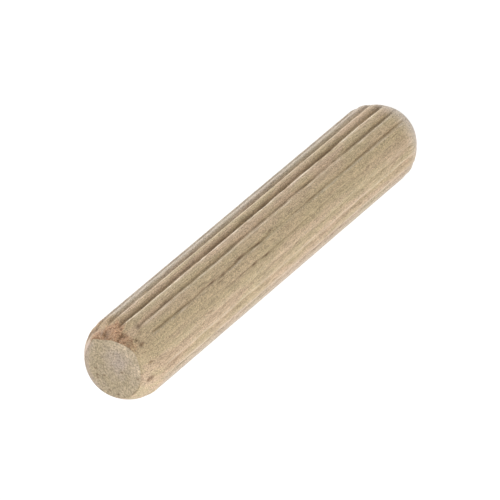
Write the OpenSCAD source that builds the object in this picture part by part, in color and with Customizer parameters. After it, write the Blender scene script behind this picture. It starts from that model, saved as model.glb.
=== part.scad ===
// Fluted wooden dowel pin, standing on its bottom end.
// The pin's axis is Z and its bottom face lies on Z = 0. Millimetres.

/* [Pin] */
// Diameter over the lands, which is the size of the hole the pin is made for
pin_d = 8; // [6:0.5:16]
// Length from end face to end face
pin_len = 50; // [25:1:120]

/* [Flutes] */
// Number of straight flutes pressed round the pin
flute_count = 20; // [8:1:22]
// Width of a flute where it meets the lands
flute_mouth = 0.68; // [0.3:0.02:0.7]
// Depth of a flute below the lands
flute_depth = 0.24; // [0.14:0.01:0.4]
// Radius at the root of a flute
flute_root_r = 0.07; // [0.03:0.01:0.1]

/* [Top end] */
// Length of the top chamfer along the pin
top_chamfer_len = 2.6; // [0.5:0.1:4]
// How far the top chamfer cuts in from the lands
top_chamfer_depth = 1.1; // [0.3:0.05:2]
// How far the top chamfer bulges past a straight cone
top_crown = 0.25; // [0.02:0.01:0.25]

/* [Bottom end] */
// Length of the bottom chamfer along the pin
bottom_chamfer_len = 2.2; // [0.5:0.1:4]
// How far the bottom chamfer cuts in from the lands
bottom_chamfer_depth = 1.1; // [0.3:0.05:2]
// How far the bottom chamfer bulges past a straight cone
bottom_crown = 0.1; // [0.02:0.01:0.25]

/* [Hidden] */

land_r = pin_d / 2;
// Cones in each crowned chamfer
crown_steps = 6;
// Flats that stand for the round root of a flute
root_steps = 4;
// How far a cutting shape runs past the wood
margin = 1;
$fn = 180;

// A flute's outline, in XY with Y pointing out of the pin: straight walls that
// meet the lands at the mouth and run on tangentially into a round root.
module flute_cut() {
    root = [0, land_r - flute_depth + flute_root_r];
    shoulder = [flute_mouth / 2, sqrt(land_r ^ 2 - (flute_mouth / 2) ^ 2)];
    reach = shoulder - root;
    // Angle round the root, from straight out to where a wall runs into it
    turn = atan2(reach.x, reach.y) + acos(flute_root_r / norm(reach));
    root_arc = [for (i = [0:root_steps])
        let (a = turn + (360 - 2 * turn) * i / root_steps)
        root + flute_root_r * [sin(a), cos(a)]];
    beyond = 2 * shoulder - root_arc[0];

    polygon([
        [beyond.x, land_r + margin],
        beyond,
        each root_arc,
        [-beyond.x, beyond.y],
        [-beyond.x, land_r + margin]
    ]);
}

// The section has the middle of a land on +X.
module fluted_section() {
    difference() {
        circle(r = land_r);
        for (i = [0:flute_count - 1])
            rotate((i + 0.5) * 360 / flute_count) flute_cut();
    }
}

// Outline of one crowned chamfer as [radius, distance in from the end face],
// from the edge of the flat face to a point just outside the lands.
function chamfer_outline(len, depth, crown) =
    let (slant = norm([len, depth]))
    concat(
        [for (i = [0:crown_steps])
            let (t = i / crown_steps, bulge = 4 * crown * t * (1 - t))
            [land_r - depth * (1 - t) + bulge * len / slant,
             len * t - bulge * depth / slant]],
        [[land_r + margin, len * (1 + margin / depth)]]
    );

// The turned outline that leaves both ends flat and chamfered.
module turned_outline() {
    bottom = chamfer_outline(bottom_chamfer_len, bottom_chamfer_depth, bottom_crown);
    top = chamfer_outline(top_chamfer_len, top_chamfer_depth, top_crown);
    rotate_extrude()
        polygon([
            [0, 0],
            each bottom,
            for (i = [len(top) - 1:-1:0]) [top[i].x, pin_len - top[i].y],
            [0, pin_len]
        ]);
}

// The pin: a fluted rod with both ends chamfered, one piece of wood.
module dowel_pin() {
    color("burlywood")
        intersection() {
            linear_extrude(pin_len) fluted_section();
            turned_outline();
        }
}

dowel_pin();
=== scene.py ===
"""A fluted beech dowel pin, 8 mm thick and 50 mm long, standing on its bottom end."""

import math

import bpy
import numpy as np
from mathutils import Matrix, Vector, noise


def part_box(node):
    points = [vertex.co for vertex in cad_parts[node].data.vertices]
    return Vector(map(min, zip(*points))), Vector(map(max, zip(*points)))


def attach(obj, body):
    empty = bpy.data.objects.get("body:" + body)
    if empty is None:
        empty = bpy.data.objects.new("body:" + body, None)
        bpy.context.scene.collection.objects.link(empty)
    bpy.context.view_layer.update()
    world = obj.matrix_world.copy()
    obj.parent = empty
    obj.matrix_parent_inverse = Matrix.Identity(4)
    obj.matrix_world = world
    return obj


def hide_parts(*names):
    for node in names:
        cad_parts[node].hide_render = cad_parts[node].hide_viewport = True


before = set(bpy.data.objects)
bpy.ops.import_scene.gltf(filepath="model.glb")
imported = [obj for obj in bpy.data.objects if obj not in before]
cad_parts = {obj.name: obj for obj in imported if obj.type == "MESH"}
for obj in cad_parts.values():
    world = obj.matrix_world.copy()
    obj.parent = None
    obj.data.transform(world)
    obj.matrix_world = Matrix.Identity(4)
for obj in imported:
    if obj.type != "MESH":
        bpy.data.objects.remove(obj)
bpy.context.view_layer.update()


# ---------------------------------------------------------------- the dowel pin
# One straight rod of beech. Its flutes are pressed in by a knurled roller, and
# both ends are then sawn flat and turned to a crowned chamfer.
# Sizes here are in millimetres and degrees, and MM turns them into metres.
MM = 0.001
low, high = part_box("dowel_pin")
LAND_R = high.x / MM
PIN_LEN = (high.z - low.z) / MM
FLUTES = 20
PITCH = 360 / FLUTES

# Length, depth and crown of each chamfer.
BOTTOM_CHAMFER = (2.2, 1.1, 0.1)
TOP_CHAMFER = (2.6, 1.1, 0.25)
CHAMFER_STEPS = 24
SHANK_STEPS = 200
COLUMNS = FLUTES * 16


def chamfer_outline(length, depth, crown):
    """Radii and distances from the end, from the face's edge to the lands."""
    t = np.linspace(0, 1, CHAMFER_STEPS + 1)
    slant = math.hypot(length, depth)
    bulge = 4 * crown * t * (1 - t)
    radii = LAND_R - depth * (1 - t) + bulge * length / slant
    inwards = length * t - bulge * depth / slant
    return radii, inwards


bottom_r, bottom_in = chamfer_outline(*BOTTOM_CHAMFER)
top_r, top_in = chamfer_outline(*TOP_CHAMFER)
shank_z = np.linspace(BOTTOM_CHAMFER[0], PIN_LEN - TOP_CHAMFER[0], SHANK_STEPS + 1)
ring_z = np.concatenate([bottom_in, shank_z[1:-1], (PIN_LEN - top_in)[::-1]])
ring_r = np.concatenate([bottom_r, np.full(SHANK_STEPS - 1, LAND_R), top_r[::-1]])
RINGS = len(ring_z)
FACE_R = top_r[0]

# An open tube is cut into even rings, and a grid of faces closes each end. Each
# ring then moves to its own height and radius.
bpy.ops.object.select_all(action="DESELECT")
bpy.ops.mesh.primitive_cylinder_add(
    vertices=COLUMNS, radius=LAND_R, depth=PIN_LEN, end_fill_type="NOTHING",
    location=(0, 0, PIN_LEN / 2),
)
pin = bpy.context.object
pin.name = "beech_dowel"
bpy.ops.object.transform_apply()


def select_edges(wanted):
    """Select the edges whose two ends are at heights that pass a test."""
    bpy.ops.mesh.select_all(action="DESELECT")
    bpy.ops.object.mode_set(mode="OBJECT")
    for edge in pin.data.edges:
        edge.select = wanted([pin.data.vertices[i].co.z for i in edge.vertices])
    bpy.ops.object.mode_set(mode="EDIT")


bpy.ops.object.mode_set(mode="EDIT")
bpy.ops.mesh.select_mode(type="EDGE")
select_edges(lambda heights: abs(heights[0] - heights[1]) > 1)
bpy.ops.mesh.subdivide(number_cuts=RINGS - 2)
for end in (0, PIN_LEN):
    select_edges(lambda heights: all(abs(z - end) < 1e-4 for z in heights))
    bpy.ops.mesh.fill_grid(span=COLUMNS // 4)
bpy.ops.mesh.select_all(action="SELECT")
bpy.ops.mesh.normals_make_consistent(inside=False)
bpy.ops.object.mode_set(mode="OBJECT")
bpy.ops.object.shade_smooth()

points = np.empty(len(pin.data.vertices) * 3)
pin.data.vertices.foreach_get("co", points)
points = points.reshape(-1, 3)
# Only the points inside an end's rim belong to its face.
share_out = np.hypot(points[:, 0], points[:, 1]) / LAND_R
on_face = share_out < 0.999
side = ~on_face
angle = np.degrees(np.arctan2(points[:, 1], points[:, 0])) % 360
ring = np.rint(points[:, 2] / PIN_LEN * (RINGS - 1)).astype(int)
turned_r = ring_r[ring] * share_out
height = ring_z[ring]
below_top = PIN_LEN - height
top_half = height > PIN_LEN / 2


def step(x, low_edge, high_edge):
    """0 below one edge, 1 above the other, and smooth in between."""
    t = np.clip((x - low_edge) / (high_edge - low_edge), 0, 1)
    return t * t * (3 - 2 * t)


def window(x, rise, fall):
    """0 outside two edges, 1 between them, with both edges given as ranges."""
    return step(x, *rise) * (1 - step(x, *fall))


def hill(x, middle, width):
    """1 at the middle, falling away on both sides."""
    return np.exp(-((x - middle) / width) ** 2)


def for_flutes(usual, others):
    """One number for each flute: the usual one, or its own where that is given."""
    return np.array([others.get(i, usual) for i in range(FLUTES)])


# Flutes are numbered anticlockwise from +X. Their depth is in mm, their width is
# a share of the full one, and how far each has wandered from its even place is
# in degrees.
flute_depth = for_flutes(0.26, {
    10: 0.22, 11: 0.18, 12: 0.12, 13: 0.04, 14: 0.09, 15: 0.18, 16: 0.3, 17: 0.37, 18: 0.33,
})
flute_width = for_flutes(1, {11: 0.85, 12: 0.85, 13: 0.7, 14: 0.5, 15: 0.55, 16: 0.8})
wander = for_flutes(0, {
    11: -0.5, 12: 0.6, 13: -1, 14: -2, 15: -2.2, 16: -0.4, 17: 0.9, 18: 1.3, 19: 2.2,
})
flute_at = (np.arange(FLUTES) + 0.5) * PITCH + wander
# Where the roller hardly bit, as flute, lowest and highest point in mm, and how
# much of the depth is left. Each fades in and out.
SKIPS = (
    (16, 47.7, 52, 0.5), (15, 47.1, 52, 0.05), (15, 34.5, 40.5, 0.5),
    (15, 19.5, 26.5, 0.3), (14, 36, 50, 0.15), (14, 0, 18, 0.3),
)
SKIP_FADE = 0.6

# A flute's section is a V with a round root and eased shoulders, and the lands
# between the flutes are slightly crowned.
ROOT_ROUND = 0.04
WALL = 0.42
SHOULDER = 0.15
LAND_CROWN = 0.035


def eased(share):
    """Twice a share that is above 0, and nearly 0 below it."""
    return share + np.sqrt(share ** 2 + SHOULDER ** 2)


def wall(distance):
    """The share of a flute's depth at a distance from its middle."""
    slope = 1 - np.sqrt(distance ** 2 + ROOT_ROUND ** 2) / WALL
    return eased(slope) / eased(1 - ROOT_ROUND / WALL)


# Each point belongs to the cell of one flute, in which it lies between -0.5 and
# 0.5. The flute gets more columns of points than the lands beside it.
GROOVE_COLUMNS = 0.36
GROOVE_HALF = 0.46
groove_deg = math.degrees(GROOVE_HALF / LAND_R)
cell = np.floor(angle / PITCH).astype(int) % FLUTES
in_cell = (angle / PITCH) % 1 - 0.5
from_middle = np.abs(in_cell)
here = flute_at[cell]
following = np.append(flute_at[1:], flute_at[0] + 360)[cell]
previous = np.append(flute_at[-1] - 360, flute_at[:-1])[cell]
reach = np.abs(np.where(in_cell >= 0, (here + following) / 2, (here + previous) / 2) - here)
off = np.where(
    from_middle <= GROOVE_COLUMNS,
    groove_deg * from_middle / GROOVE_COLUMNS,
    groove_deg + (reach - groove_deg) * (from_middle - GROOVE_COLUMNS) / (0.5 - GROOVE_COLUMNS),
)

# The flutes wander and change depth a little along the pin, the narrow ones most.
WOBBLE_STEP = 0.25
z_steps = np.arange(0, PIN_LEN + WOBBLE_STEP, WOBBLE_STEP)
flute_wobble = np.empty((FLUTES, len(z_steps)))
flute_bite = np.empty((FLUTES, len(z_steps)))


def along_flute(i, length, stride, seed):
    """Smooth noise along a flute, with its length in mm."""
    return np.array([noise.noise(Vector((z / length, i * stride, seed))) for z in z_steps])


for i in range(FLUTES):
    slow = along_flute(i, 5, 3.7, 1.5)
    quick = along_flute(i, 1.3, 5.1, 8.5)
    flute_wobble[i] = (0.7 * slow + 0.6 * quick) * (2.4 - 1.4 * flute_width[i])
    uneven = 0.9 * (1 - flute_width[i])
    flute_bite[i] = 1 + (0.35 + uneven) * along_flute(i, 3, 2.9, 4.5)
    flute_bite[i] += (0.25 + uneven) * along_flute(i, 0.9, 1.9, 6.5)
    flute_bite[i] = np.maximum(flute_bite[i], 0.05)
for i, start, stop, left in SKIPS:
    rise = (start - SKIP_FADE, start + SKIP_FADE)
    fall = (stop - SKIP_FADE, stop + SKIP_FADE)
    flute_bite[i] *= 1 - (1 - left) * window(z_steps, rise, fall)
row = np.clip(np.rint(height / WOBBLE_STEP).astype(int), 0, len(z_steps) - 1)
wobble = flute_wobble[cell, row]
bite = flute_bite[cell, row]

new_angle = here + np.sign(in_cell) * off + wobble * (1 - from_middle * 2)
moved = angle + (new_angle - angle) * share_out ** 2
from_root = np.radians(off) * LAND_R
pressed = flute_depth[cell] * bite * wall(from_root / flute_width[cell])
crown = LAND_CROWN * np.clip(1 - from_root / (np.radians(reach) * LAND_R), 0, 1) ** 2
fluted_r = LAND_R - pressed - crown
radius = np.where(on_face, turned_r, np.minimum(turned_r, fluted_r))
# The roller also marked the bottom chamfer, less and less towards the end.
MARKED_SHARE = 0.6
marked = pressed * step(height, 0.15, 1.3) * MARKED_SHARE
radius = np.where(on_face | top_half, radius, np.minimum(radius, turned_r - marked))
# The top face is not quite round: it runs out further at both ends of the tear.
# Each run-out: degrees from the tear's middle, how wide, and how far in mm.
TORN_MIDDLE = 320
RUN_OUTS = ((-45, 20, 0.24), (35, 10, 0.3))
RUN_OUT_LENGTH = 1.2
from_torn = (moved - TORN_MIDDLE + 180) % 360 - 180
further = sum(far * hill(from_torn, at, wide) for at, wide, far in RUN_OUTS)
faded = np.where(on_face, share_out ** 2, 1 - step(below_top, 0, RUN_OUT_LENGTH))
radius += further * top_half * faded
points[:, 0] = radius * np.cos(np.radians(moved))
points[:, 1] = radius * np.sin(np.radians(moved))
points[:, 2] = height
# Its rim is sanded round on one side, over a strip of the face and of the chamfer.
SANDED_AT = -72
SANDED_DEEP = 0.13
FACE_STRIP = 0.45
CHAMFER_STRIP = 0.6
sanded = SANDED_DEEP * (1 - step(np.abs(from_torn - SANDED_AT), 15, 45)) * top_half
near_rim = np.where(on_face, (turned_r - FACE_R) / FACE_STRIP + 1, 1 - below_top / CHAMFER_STRIP)
points[:, 2] -= sanded * np.clip(near_rim, 0, 1) ** 2


def wood_noise(across, along, seed):
    """Smooth noise at each point, with its sizes across and along the fibres in mm."""
    spots = points * np.array([1 / across, 1 / across, 1 / along]) + seed * 17.3
    return np.array([noise.noise(Vector(spot)) for spot in spots])


def sink(depth):
    """Move the points towards the pin's axis, each by its own depth in mm."""
    inward = 1 - depth / np.maximum(radius, 0.5)
    points[:, 0] *= inward
    points[:, 1] *= inward


# Raised fibres on the sides, and the roughness of the sawn top end.
FIBRE_RELIEF = 0.013
SAWN_RELIEF = 0.02
fibres = wood_noise(0.22, 1.6, 1) + 0.6 * wood_noise(0.13, 0.5, 2)
relief = FIBRE_RELIEF * np.clip(fibres - 0.35, -1.5, 0)
relief *= side * window(height, (0, 0.4), (PIN_LEN - 0.4, PIN_LEN))
sink(-relief)
sawn = on_face & top_half
points[sawn, 2] += SAWN_RELIEF * (wood_noise(0.2, 0.2, 3)[sawn] - 1)

# Where the chamfering cutter tore the fibres, as a share at each point. The tear
# reaches lower down in its middle.
TORN_REACH = 48
TORN_LOW = 49.15
TORN_LOWER = 0.95
torn = 1 - step(np.abs(from_torn), TORN_REACH - 6, TORN_REACH + 4)
edge_noise = wood_noise(0.4, 0.4, 4)
torn_low = TORN_LOW - TORN_LOWER * hill(from_torn, 0, 15)
torn *= step(height + 0.5 * edge_noise, torn_low - 0.1, torn_low + 0.45) * side
# Each pit and split: degrees, height, how far it reaches around and along, and
# how deep, in mm. First come those beside the tear, then those on the chamfer,
# and then the splits along the shank.
PITS = (
    (334, 49.55, 0.6, 0.33, 0.12), (333, 49.53, 0.24, 0.2, 0.2), (331, 49.85, 0.6, 0.16, 0.07),
    (304, 49.3, 0.36, 0.24, 0.05), (304, 49.35, 0.2, 0.18, 0.17), (305.5, 49.65, 0.2, 0.16, 0.17),
    (300, 49.3, 0.18, 0.18, 0.09), (294, 49.75, 0.7, 0.16, 0.05),
    (287, 49.5, 0.22, 0.16, 0.05), (273.5, 48.95, 0.2, 0.2, 0.12), (283, 49.05, 0.16, 0.18, 0.1),
    (287.5, 48.3, 0.14, 0.26, 0.04), (294, 47.75, 0.2, 0.2, 0.1),
    (356.5, 48.85, 0.35, 0.35, 0.22), (14, 48.75, 0.6, 0.32, 0.2), (245, 48.9, 0.17, 0.17, 0.08),
    (220, 49.15, 0.28, 0.2, 0.12), (216.5, 49.35, 0.2, 0.14, 0.12), (222, 48.9, 0.12, 0.15, 0.1),
    (277.5, 38.5, 0.11, 0.5, 0.07), (276.3, 36.8, 0.11, 0.6, 0.11), (274.5, 35.2, 0.11, 0.55, 0.1),
    (277.5, 31.7, 0.11, 0.7, 0.1), (276, 28.6, 0.12, 0.45, 0.09), (279, 26.2, 0.1, 0.6, 0.06),
    (257, 28.5, 0.1, 0.5, 0.08), (258, 30.8, 0.1, 0.5, 0.07), (268, 24.0, 0.1, 0.4, 0.05),
    (270, 36.0, 0.1, 0.6, 0.05), (265, 16.5, 0.1, 0.5, 0.05), (247, 39.0, 0.1, 0.5, 0.05),
)
PIT_FALLOFF = 1.6
PIT_SHADE_PER_MM = 17
TORN_PIT_DEEP = 0.12
TORN_ROUGH = 0.05
torn_noise = wood_noise(0.3, 0.2, 5)
pit = 0.45 * torn * step(torn_noise, 0.15, 0.5)
sunk = TORN_PIT_DEEP * pit + TORN_ROUGH * torn * np.abs(wood_noise(0.25, 0.2, 8))
for degrees_at, z_at, wide, tall, deep in PITS:
    around = np.radians((moved - degrees_at + 180) % 360 - 180) * radius
    gap = np.hypot(around / wide, (height - z_at) / tall)
    hole = np.exp(-PIT_FALLOFF * (gap + 0.4 * torn_noise) ** 2) * side * (gap < 3)
    sunk += deep * hole
    # The deeper a pit, the darker it is painted: the wood's own dark in pits and splits, and painted
    # shade in the hollow.
    pit = np.maximum(pit, np.clip(PIT_SHADE_PER_MM * deep * hole, 0, 1))
sink(sunk)

pin.data.vertices.foreach_set("co", (points * MM).ravel())
pin.data.update()


def remember(name, shares):
    """Keep one number per point on the pin, for its material to read."""
    layer = pin.data.attributes.new(name, "FLOAT", "POINT")
    layer.data.foreach_set("value", shares.astype(np.float32))


def facing(degrees):
    """1 on the side of the pin that faces a direction, and -1 on the far side."""
    return np.cos(np.radians(moved - degrees))


# The root of each flute is painted darker, as painted shade in the groove. On some flutes the painted
# shade sits on the wall beside the root, by a distance in mm.
root_shade = for_flutes(0.6, {11: 0.1, 12: 0, 13: 0, 14: 0.9, 15: 1, 17: 1.1, 18: 0.6, 19: 0.8})[cell]
shade_shift = for_flutes(0, {17: 0.1, 18: 0.15, 19: 0.25})[cell]
in_cut = np.clip((turned_r - fluted_r) / 0.05, 0, 1) * side
root_line = hill(np.sign(in_cell) * from_root, shade_shift, 0.12 * flute_width[cell] + 0.4 * shade_shift)
remember("root", root_line * root_shade * np.clip(bite, 0, 1.2) * in_cut)
# Each flute gets a painted highlight along one lip, the one the lamps catch: below 0 the clockwise
# one, above 0 the other.
highlight_side = for_flutes(0.5, {
    10: 0.7, 11: 1.1, 12: 0.4, 13: 0.25, 14: 0, 15: -0.5, 16: -0.5, 17: -0.8, 18: -0.75, 19: -0.75,
})[cell]
highlight_width = for_flutes(0.18, {11: 0.22, 17: 0.24, 18: 0.34, 19: 0.4})[cell]
HIGHLIGHT_AT = 0.48
highlight_line = hill(from_root / flute_width[cell], HIGHLIGHT_AT, highlight_width)
highlight_line *= np.clip(np.sign(in_cell) * highlight_side, 0, 1)
highlight_breaks = 1.1 * wood_noise(0.5, 1.1, 11) + 1.1 * wood_noise(0.3, 0.4, 13)
highlight_line *= np.clip(0.75 + highlight_breaks, 0, 1.3)
remember("lip_highlight", highlight_line * in_cut * np.clip(bite, 0, 1))
# The tear is palest towards its two ends.
remember("torn", torn * (1 - 0.45 * step(-from_torn, 15, 38) - 0.35 * step(from_torn, 24, 40)))
remember("pit", pit)
remember("sawn_end", on_face)
# The bottom of the pin is painted pale: painted rim light, as from light behind and below it.
remember("bottom_rim_light", (1 - step(height + 0.3 * edge_noise, 0.5, 3.5)) * side)
# The top chamfer is darker and browner over part of its round, and in one spot below it.
dull = window(from_torn, (-30, 5), (60, 95)) * (1 - step(below_top, 2, 3.4))
dull += 0.3 * hill(from_torn, -88, 22) * hill(below_top, 3.6, 1.8)
remember("dull", dull * side)
# Two sides get a painted grey sheen, a painted reflection of the white surround where the surface is
# seen at a grazing angle.
grazing_sheen = window(from_torn, (5, 29), (60, 95))
grazing_sheen += 0.6 * window(-from_torn, (100, 125), (140, 175))
remember("grazing_sheen", grazing_sheen * (1 - step(height, 46.5, 48.2)) * side)
# The rim of the top face and the chamfer's edge are worn pale where they rub.
face_out = share_out * FACE_R
rubbed_rim = step(face_out, FACE_R - 0.55, FACE_R - 0.15) * step(facing(55), 0.4, 0.85) * on_face
worn_edge = (1 - step(below_top, 0.3, 1.1)) * step(facing(30), 0.2, 0.8) * side * (1 - torn)
remember("worn", np.maximum(rubbed_rim * np.clip(0.75 + 0.8 * edge_noise, 0, 1), worn_edge))
# The wood is greener along one side.
remember("khaki", hill(moved, 270, 22) * side)
# The sawn top end: a greyer heart to one side, a paler rim, and small pits.
HEART = (0.17, -0.99)
END_PIT_R = 0.11
END_PITS = (
    (-0.09, 1.3), (0.36, 1.93), (0.1, 2.1), (-0.76, -0.56),
    (-2.09, -1.65), (-2.2, 1.35), (0.9, 1.6), (-1.4, 1.9),
)
from_heart = np.hypot(points[:, 0] - HEART[0], points[:, 1] - HEART[1])
heart = hill(from_heart, 0, 1.35) + 0.35 * wood_noise(0.7, 0.7, 9)
remember("heart", np.clip(heart, 0, 1) * on_face)
rim = step(face_out, FACE_R - 1.15, FACE_R - 0.55) * on_face
rim *= 0.25 + 0.75 * step(facing(262), 0.35, 0.95)
remember("rim", rim * np.clip(0.8 + wood_noise(0.5, 0.5, 12), 0, 1))
end_pit = np.zeros(len(points))
for pit_x, pit_y in END_PITS:
    gap = np.hypot(points[:, 0] - pit_x, points[:, 1] - pit_y)
    end_pit = np.maximum(end_pit, hill(gap, 0, END_PIT_R) * on_face)
remember("end_pit", end_pit)


class Wire:
    """One output socket of a node, on which sums and products add Math nodes."""

    def __init__(self, tree, socket=None):
        self.tree = tree
        self.socket = socket

    def node(self, kind, settings, values, output=0):
        """Add a node: its type, its settings, then what each of its sockets gets."""
        made = self.tree.nodes.new(kind)
        for name, value in settings.items():
            setattr(made, name, value)
        for name, value in values.items():
            if isinstance(value, Wire):
                self.tree.links.new(value.socket, made.inputs[name])
            else:
                made.inputs[name].default_value = value
        return Wire(self.tree, made.outputs[output]) if len(made.outputs) else None

    def math(self, operation, first, second):
        return self.node("ShaderNodeMath", {"operation": operation}, {0: first, 1: second})

    def __add__(self, other):
        return self.math("ADD", self, other)

    def __radd__(self, other):
        return self.math("ADD", other, self)

    def __sub__(self, other):
        return self.math("SUBTRACT", self, other)

    def __rsub__(self, other):
        return self.math("SUBTRACT", other, self)

    def __mul__(self, other):
        return self.math("MULTIPLY", self, other)

    def __rmul__(self, other):
        return self.math("MULTIPLY", other, self)

    def between(self, low_edge, high_edge):
        """0 below one edge, 1 above the other, and smooth in between."""
        return self.node(
            "ShaderNodeMapRange", {"interpolation_type": "SMOOTHSTEP"},
            {"Value": self, "From Min": low_edge, "From Max": high_edge},
        )

    def mix(self, share, first, second):
        """One colour turned into another by a share."""
        ends = [c if isinstance(c, Wire) else (*c, 1) for c in (first, second)]
        return self.node("ShaderNodeMix", {"data_type": "RGBA"}, {0: share, 6: ends[0], 7: ends[1]}, 2)

    def tint(self, share, colour):
        """Turn this colour into another one by a share."""
        return self.mix(share, self, colour)

    def shade(self, strength):
        """Make this colour lighter or darker all over."""
        return self.node("ShaderNodeVectorMath", {"operation": "SCALE"}, {0: self, "Scale": strength})


def new_tree(data):
    """An empty node tree for a material or the world."""
    data.use_nodes = True
    data.node_tree.nodes.clear()
    return Wire(data.node_tree)


wood = bpy.data.materials.new("beech")
tree = new_tree(wood)
place = tree.node("ShaderNodeTexCoord", {}, {}, "Object")


def grain(across, along, seed, detail=2.0):
    """Noise with its sizes across and along the fibres in mm."""
    spot = tree.node(
        "ShaderNodeMapping", {},
        {"Vector": place, "Location": (seed * 7.1, seed * 3.3, seed * 5.7),
         "Scale": (1 / (across * MM), 1 / (across * MM), 1 / (along * MM))},
    )
    return tree.node("ShaderNodeTexNoise", {}, {"Vector": spot, "Scale": 1.0, "Detail": detail})


def kept(name):
    """A number that the pin's points remember."""
    return tree.node("ShaderNodeAttribute", {"attribute_name": name}, {}, "Fac")


KHAKI = (0.459, 0.363, 0.225)
DRY_KHAKI = (0.452, 0.352, 0.2)
PINKISH = (0.488, 0.361, 0.245)
ROSY = (0.52, 0.37, 0.26)
GROOVE = (0.19, 0.123, 0.062)
LIP_HIGHLIGHT = (0.85, 0.765, 0.63)
SHEEN_GREY = (0.45, 0.41, 0.36)
TORN_RED = (0.45, 0.255, 0.145)
PIT_DARK = (0.15, 0.085, 0.04)
DULL_BROWN = (0.345, 0.242, 0.142)
BOTTOM_RIM_LIGHT = (0.72, 0.64, 0.56)
WORN = (0.57, 0.46, 0.4)
END_TAN = (0.45, 0.362, 0.238)
END_LILAC = (0.48, 0.39, 0.312)
END_RIM = (0.62, 0.5, 0.36)

speckle = grain(0.1, 0.105, 1, 1.0)
fibre = grain(0.1, 2.0, 2, 0.0)
fleck = grain(0.16, 0.8, 3, 0.0)
patch = grain(1.2, 7.0, 4)
hue = grain(0.5, 2.2, 5, 1.0)
root, lip_highlight, torn_here, pit_here, end_here = [
    kept(name) for name in ("root", "lip_highlight", "torn", "pit", "sawn_end")
]

# The bare wood of the sides, what cutting did to it, its grain, and the painted shade, highlight,
# sheen and rim light on it.
colour = tree.mix(patch.between(0.38, 0.62), KHAKI, PINKISH)
colour = colour.tint((hue - 0.5) * 1.2, ROSY)
colour = colour.tint(kept("khaki") * 0.6, DRY_KHAKI)
# Painted grey sheen on two sides.
colour = colour.tint(kept("grazing_sheen") * 0.7, SHEEN_GREY)
# Painted rim light round the bottom of the pin.
colour = colour.tint(kept("bottom_rim_light") * 0.68, BOTTOM_RIM_LIGHT)
colour = colour.tint(kept("dull") * 0.75, DULL_BROWN)
# Painted shade at the flute roots.
colour = colour.tint(root * 0.55, GROOVE)
mottle = grain(0.22, 0.16, 8, 1.0)
colour = colour.tint(torn_here * (0.8 + (mottle - 0.5) * 2.2), TORN_RED)
# Dark of pits and splits: the wood's own dark and painted shade.
colour = colour.tint(pit_here * 0.8, PIT_DARK)
colour = colour.shade(1 + (speckle - 0.5) * 1.75 + (fibre - 0.5) * 0.5)
colour = colour.tint(fleck.between(0.66, 0.72) * 0.3, GROOVE)
# Painted highlight along one lip of each flute.
colour = colour.tint(lip_highlight, LIP_HIGHLIGHT)
colour = colour.tint(torn_here * mottle.between(0.53, 0.62) * 0.7, PIT_DARK)

# The end grain of the two faces.
pores = grain(0.17, 0.17, 6, 2.0)
end_colour = tree.mix(kept("heart"), END_TAN, END_LILAC)
end_colour = end_colour.tint(kept("rim") * 0.9, END_RIM)
end_colour = end_colour.shade(1 + (pores - 0.5) * 1.85)
end_colour = end_colour.tint(kept("end_pit") * 0.8, PIT_DARK)
colour = colour.tint(end_here, end_colour)
colour = colour.tint(kept("worn") * 0.6, WORN)

bump = tree.node(
    "ShaderNodeBump", {}, {"Strength": 1.0, "Distance": 0.02 * MM, "Height": speckle + fibre * 0.8},
)
skin = tree.node(
    "ShaderNodeBsdfPrincipled", {},
    {"Base Color": colour, "Roughness": 0.65, "Specular IOR Level": 0.35,
     "Sheen Weight": 0.08, "Sheen Roughness": 0.4, "Normal": bump},
)
tree.node("ShaderNodeOutputMaterial", {}, {"Surface": skin})
pin.data.materials.append(wood)
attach(pin, "root")
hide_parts("dowel_pin")


# ---------------------------------------------------------------- the camera
# A long lens looks down on the pin from one side, turned so that the top end
# comes out at the lower left.
AZIMUTH = math.radians(4.1)
TILT = math.radians(41.74)  # between the pin's axis and the view
ROLL = math.radians(-(90 + 40.275))
DISTANCE = 687.7 * MM
OFFSET = (0.4426 * MM, 0.1794 * MM)

back = Vector((
    math.sin(AZIMUTH) * math.sin(TILT),
    -math.cos(AZIMUTH) * math.sin(TILT),
    math.cos(TILT),
))
bpy.ops.object.camera_add()
camera = bpy.context.object
camera.data.lens = 540
camera.data.sensor_width = 36
camera.data.clip_start = 0.01
camera.data.clip_end = 10
turn = back.to_track_quat("Z", "Y").to_matrix() @ Matrix.Rotation(ROLL, 3, "Z")
pin_centre = Vector((0, 0, PIN_LEN * MM / 2))
camera.location = pin_centre + turn @ Vector((-OFFSET[0], -OFFSET[1], DISTANCE))
camera.rotation_euler = turn.to_euler()
bpy.context.scene.camera = camera


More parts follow.
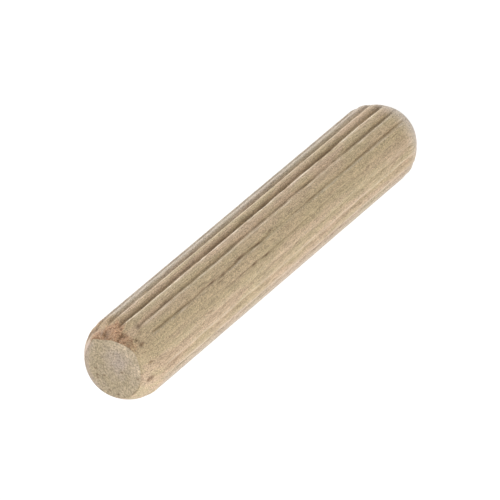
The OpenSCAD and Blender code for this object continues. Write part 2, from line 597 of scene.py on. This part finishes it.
# ---------------------------------------------------------------- the floor
# A plain white sheet under the pin, which also glows towards the camera, so
# that it reads as white.
bpy.ops.mesh.primitive_plane_add(size=1.2)
floor = bpy.context.object
floor.name = "floor"
white = bpy.data.materials.new("white_floor")
tree = new_tree(white)
seen = tree.node("ShaderNodeLightPath", {}, {}, "Is Camera Ray")
paint = tree.node("ShaderNodeBsdfDiffuse", {}, {"Color": (0.8, 0.8, 0.8, 1)})
glow = tree.node("ShaderNodeEmission", {}, {"Strength": 1.2})
both = tree.node("ShaderNodeMixShader", {}, {0: seen * 0.75, 1: paint, 2: glow})
tree.node("ShaderNodeOutputMaterial", {}, {"Surface": both})
floor.data.materials.append(white)


# ---------------------------------------------------------------- the lights
# An even white surround, full white to the camera and dimmer on the pin, with
# round soft lamps in front, low on both sides and behind.
AMBIENT = 0.45
LAMP_SIZE = 0.3
LAMP_DISTANCE = 0.45

world = bpy.data.worlds.new("white_surround")
bpy.context.scene.world = world
tree = new_tree(world)
seen = tree.node("ShaderNodeLightPath", {}, {}, "Is Camera Ray")
sky = tree.node(
    "ShaderNodeBackground", {}, {"Color": (1, 1, 1, 1), "Strength": seen * (1 - AMBIENT) + AMBIENT},
)
tree.node("ShaderNodeOutputWorld", {}, {"Surface": sky})


def lamp(name, from_camera, elevation, power):
    """A round soft lamp, placed by its angle from the camera's and its height."""
    a = AZIMUTH + math.radians(from_camera)
    e = math.radians(elevation)
    towards = Vector((math.sin(a) * math.cos(e), -math.cos(a) * math.cos(e), math.sin(e)))
    bpy.ops.object.light_add(type="AREA")
    light = bpy.context.object
    light.name = name
    light.data.shape = "DISK"
    light.data.size = LAMP_SIZE
    light.data.energy = power
    light.location = pin_centre + towards * LAMP_DISTANCE
    light.rotation_euler = towards.to_track_quat("Z", "Y").to_euler()
    light.visible_camera = False


lamp("front_softbox", -37, 40, 1.0)
lamp("left_softbox", -105, 10, 1.3)
lamp("right_softbox", 98, 10, 1.22)
lamp("back_softbox", 120, 10, 1.0)

bpy.context.scene.view_settings.view_transform = "Standard"
